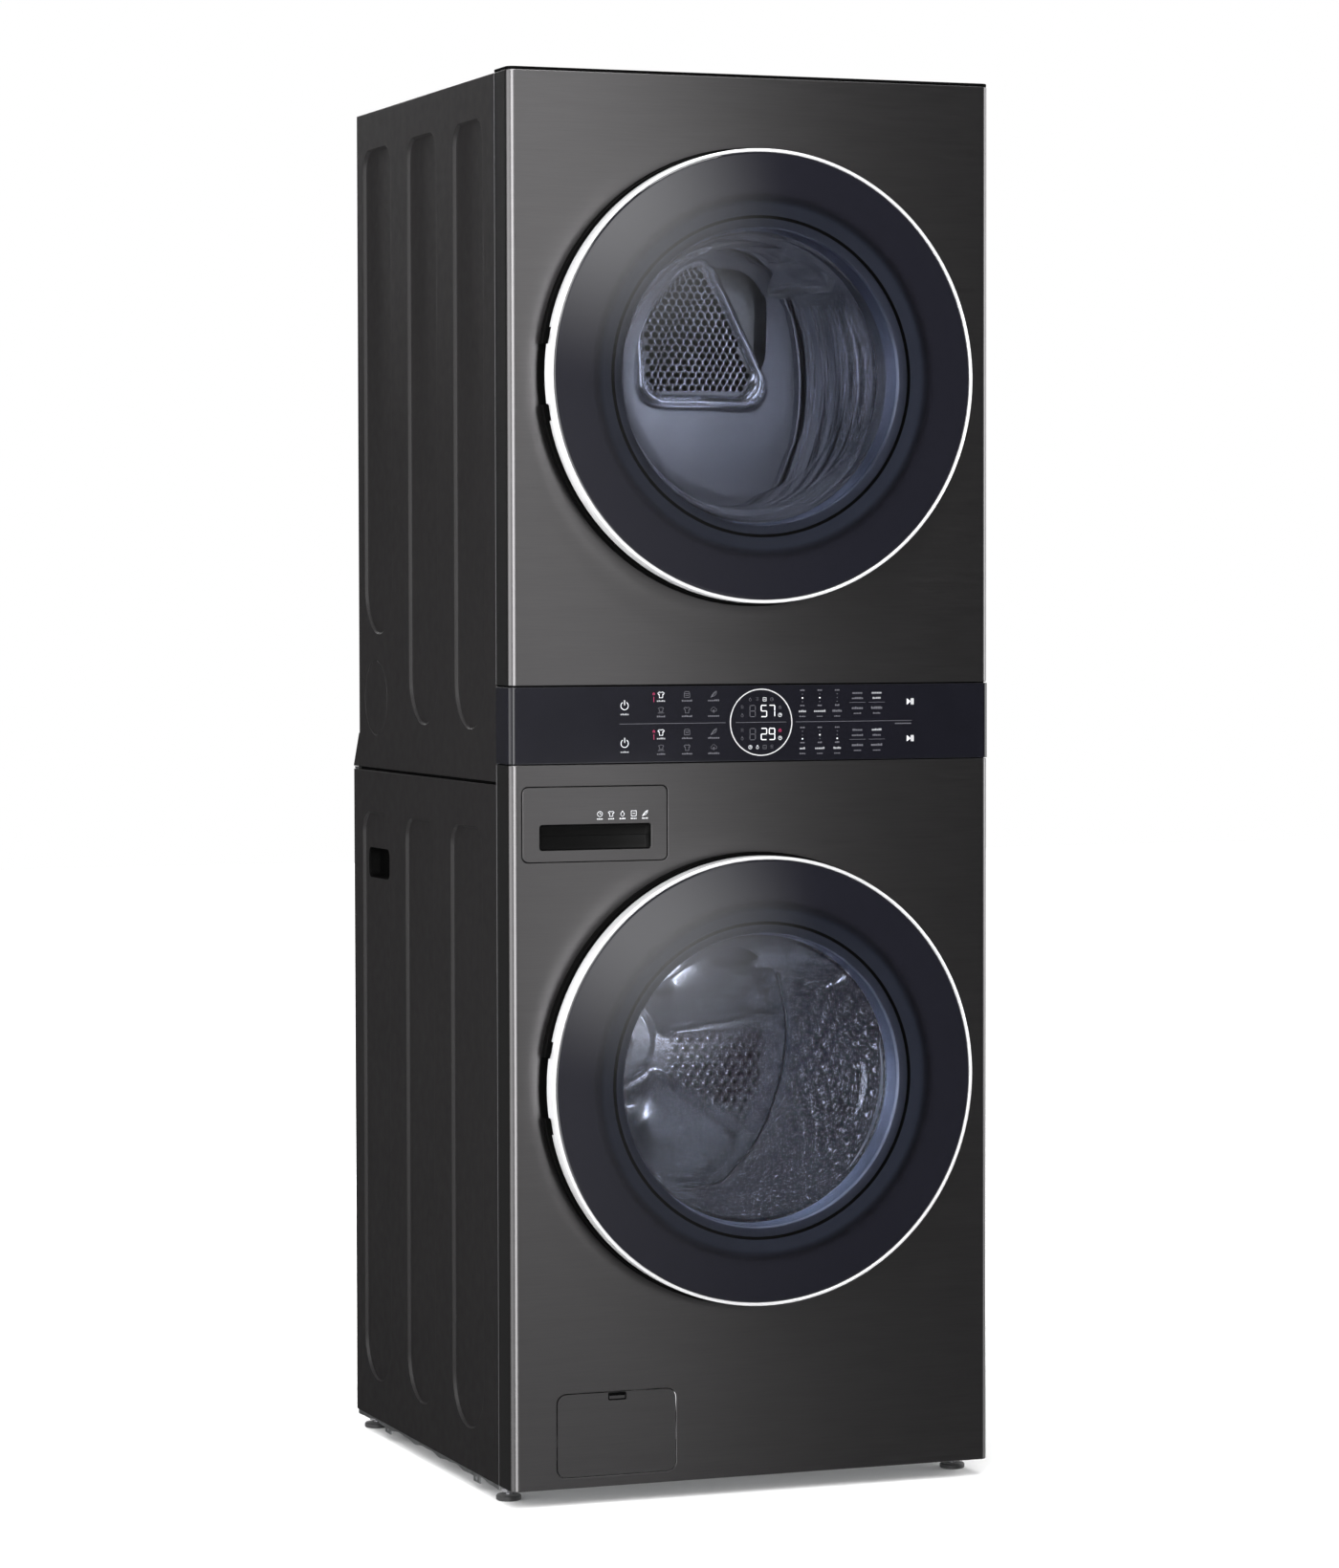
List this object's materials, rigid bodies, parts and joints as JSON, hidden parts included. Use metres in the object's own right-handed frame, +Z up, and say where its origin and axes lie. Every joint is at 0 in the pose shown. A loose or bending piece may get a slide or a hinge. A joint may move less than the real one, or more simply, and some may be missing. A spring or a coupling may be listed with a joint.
{
  "type": "washer dryer stack",
  "caption": "Front-loading washer with a vented dryer stacked above it in one tall cabinet: round glass doors, a control band between them, detergent drawer and drain filter.",
  "frame": {"origin": "on the floor, in the middle of the machine's width and depth", "axes": "+Z up, +X to the user's right, the doors face -Y"},
  "size_m": [0.686, 0.771, 1.889],
  "materials": {
    "galvanised": "spangled zinc, satin",
    "foot_rubber": "matt",
    "side_paint": "semi-matt charcoal enamel",
    "black_steel": "brushed, dark tinted clear coat",
    "black_plastic": "fine grain",
    "seal_rubber": "smooth grey",
    "light_plastic": "smooth",
    "grey_plastic": "smooth",
    "pump_plastic": "smooth",
    "zinc_steel": "zinc plated",
    "spring_steel": "oiled",
    "band_gloss": "high gloss",
    "ring_chrome": "polished",
    "duct_metal": "mill finish",
    "bulkhead_steel": "satin",
    "drum_steel": "satin stainless",
    "tub_plastic": "glass-filled",
    "ballast": "cast, rough",
    "winding": "varnished copper",
    "motor_paint": "semi-gloss",
    "spider_alloy": "die cast",
    "door_glass": "tinted, polished",
    "bowl_glass": "polished",
    "belt_rubber": "ribbed",
    "roller_rubber": "matt"
  },
  "bodies": {
    "cabinet": {"base_frame": "galvanised", "levelling_feet": "foot_rubber", "washer_side_panels": "side_paint", "dryer_side_panels": "side_paint", "top_panel": "side_paint", "washer_rear_panel": "galvanised", "dryer_rear_panel": "galvanised", "rear_slant_cover": "side_paint", "centre_shelf": "galvanised", "cabinet_screws": "zinc_steel", "washer_front_panel": "black_steel", "dryer_front_panel": "black_steel", "door_bezels": "black_plastic", "hinge_brackets": "zinc_steel", "door_locks": "light_plastic", "control_fascia": "band_gloss", "control_carrier": "black_plastic", "display_ring": "ring_chrome", "dispenser_housing": "grey_plastic", "water_valves": "light_plastic", "drain_pump": "grey_plastic", "door_gasket": "seal_rubber", "tub_front": "tub_plastic", "tub_rear": "tub_plastic", "counterweights": "ballast", "motor_stator": "winding", "tub_suspension": "spring_steel", "front_bulkhead": "bulkhead_steel", "rear_bulkhead": "bulkhead_steel", "lint_filter": "grey_plastic", "heater_duct": "galvanised", "blower_housing": "pump_plastic", "dryer_motor": "motor_paint", "drive_belt": "belt_rubber", "exhaust_duct": "duct_metal"},
    "washer_door": {"washer_door_glass": "door_glass", "washer_door_ring": "ring_chrome", "washer_door_frame": "black_plastic", "washer_door_bowl": "bowl_glass", "washer_door_hardware": "zinc_steel"},
    "dryer_door": {"dryer_door_glass": "door_glass", "dryer_door_ring": "ring_chrome", "dryer_door_frame": "black_plastic", "dryer_door_bowl": "bowl_glass", "dryer_door_hardware": "zinc_steel"},
    "detergent_drawer": {"drawer_front": "black_steel", "drawer_tray": "light_plastic"},
    "filter_cover": {"filter_cover": "black_steel"},
    "drain_filter": {"drain_filter": "light_plastic"},
    "washer_drum": {"washer_drum": "drum_steel", "washer_lifters": "grey_plastic", "drum_spider": "spider_alloy", "motor_rotor": "motor_paint"},
    "dryer_drum": {"dryer_drum": "drum_steel", "dryer_lifters": "drum_steel"},
    "dryer_motor_rotor": {"motor_shaft": "spring_steel", "blower_wheel": "pump_plastic"},
    "belt_idler": {"idler_pulley": "light_plastic"},
    "left_roller": {"drum_roller_left": "roller_rubber"},
    "right_roller": {"drum_roller_right": "roller_rubber"}
  },
  "joints": [
    {"name": "washer_door_hinge", "type": "hinge", "parent": "cabinet", "child": "washer_door", "pos_m": [0.288, -0.362, 0.5569], "axis": [0, 0, 1], "range_deg": [0, 110]},
    {"name": "dryer_door_hinge", "type": "hinge", "parent": "cabinet", "child": "dryer_door", "pos_m": [0.288, -0.362, 1.4894], "axis": [0, 0, 1], "range_deg": [0, 110]},
    {"name": "detergent_drawer_slide", "type": "slide", "parent": "cabinet", "child": "detergent_drawer", "axis": [0, -1, 0], "range_m": [0, 0.21]},
    {"name": "filter_cover_hinge", "type": "hinge", "parent": "cabinet", "child": "filter_cover", "pos_m": [-0.196, -0.34, 0.0465], "axis": [1, 0, 0], "range_deg": [0, 90]},
    {"name": "drain_filter_turn", "type": "hinge", "parent": "cabinet", "child": "drain_filter", "pos_m": [-0.196, -0.3, 0.095], "axis": [0, -1, 0], "range_deg": [0, 270]},
    {"name": "washer_drum_spin", "type": "hinge", "parent": "cabinet", "child": "washer_drum", "pos_m": [0, 0, 0.5569], "axis": [0, 1, 0], "continuous": true},
    {"name": "dryer_drum_spin", "type": "hinge", "parent": "cabinet", "child": "dryer_drum", "pos_m": [0, 0, 1.51], "axis": [0, 1, 0], "continuous": true},
    {"name": "dryer_motor_spin", "type": "hinge", "parent": "cabinet", "child": "dryer_motor_rotor", "pos_m": [-0.18, 0, 1.135], "axis": [0, 1, 0], "continuous": true},
    {"name": "belt_idler_spin", "type": "hinge", "parent": "cabinet", "child": "belt_idler", "pos_m": [0.09, 0.15, 1.15], "axis": [0, 1, 0], "continuous": true},
    {"name": "left_roller_spin", "type": "hinge", "parent": "cabinet", "child": "left_roller", "pos_m": [-0.20264, 0.25, 1.22059], "axis": [0, 1, 0], "continuous": true},
    {"name": "right_roller_spin", "type": "hinge", "parent": "cabinet", "child": "right_roller", "pos_m": [0.20264, 0.25, 1.22059], "axis": [0, 1, 0], "continuous": true}
  ],
  "couplings": [
    {"joint": "dryer_motor_spin", "follows": "dryer_drum_spin", "ratio": 22.259},
    {"joint": "belt_idler_spin", "follows": "dryer_drum_spin", "ratio": 12.581},
    {"joint": "left_roller_spin", "follows": "dryer_drum_spin", "ratio": -9.0512},
    {"joint": "right_roller_spin", "follows": "dryer_drum_spin", "ratio": -9.0512}
  ]
}
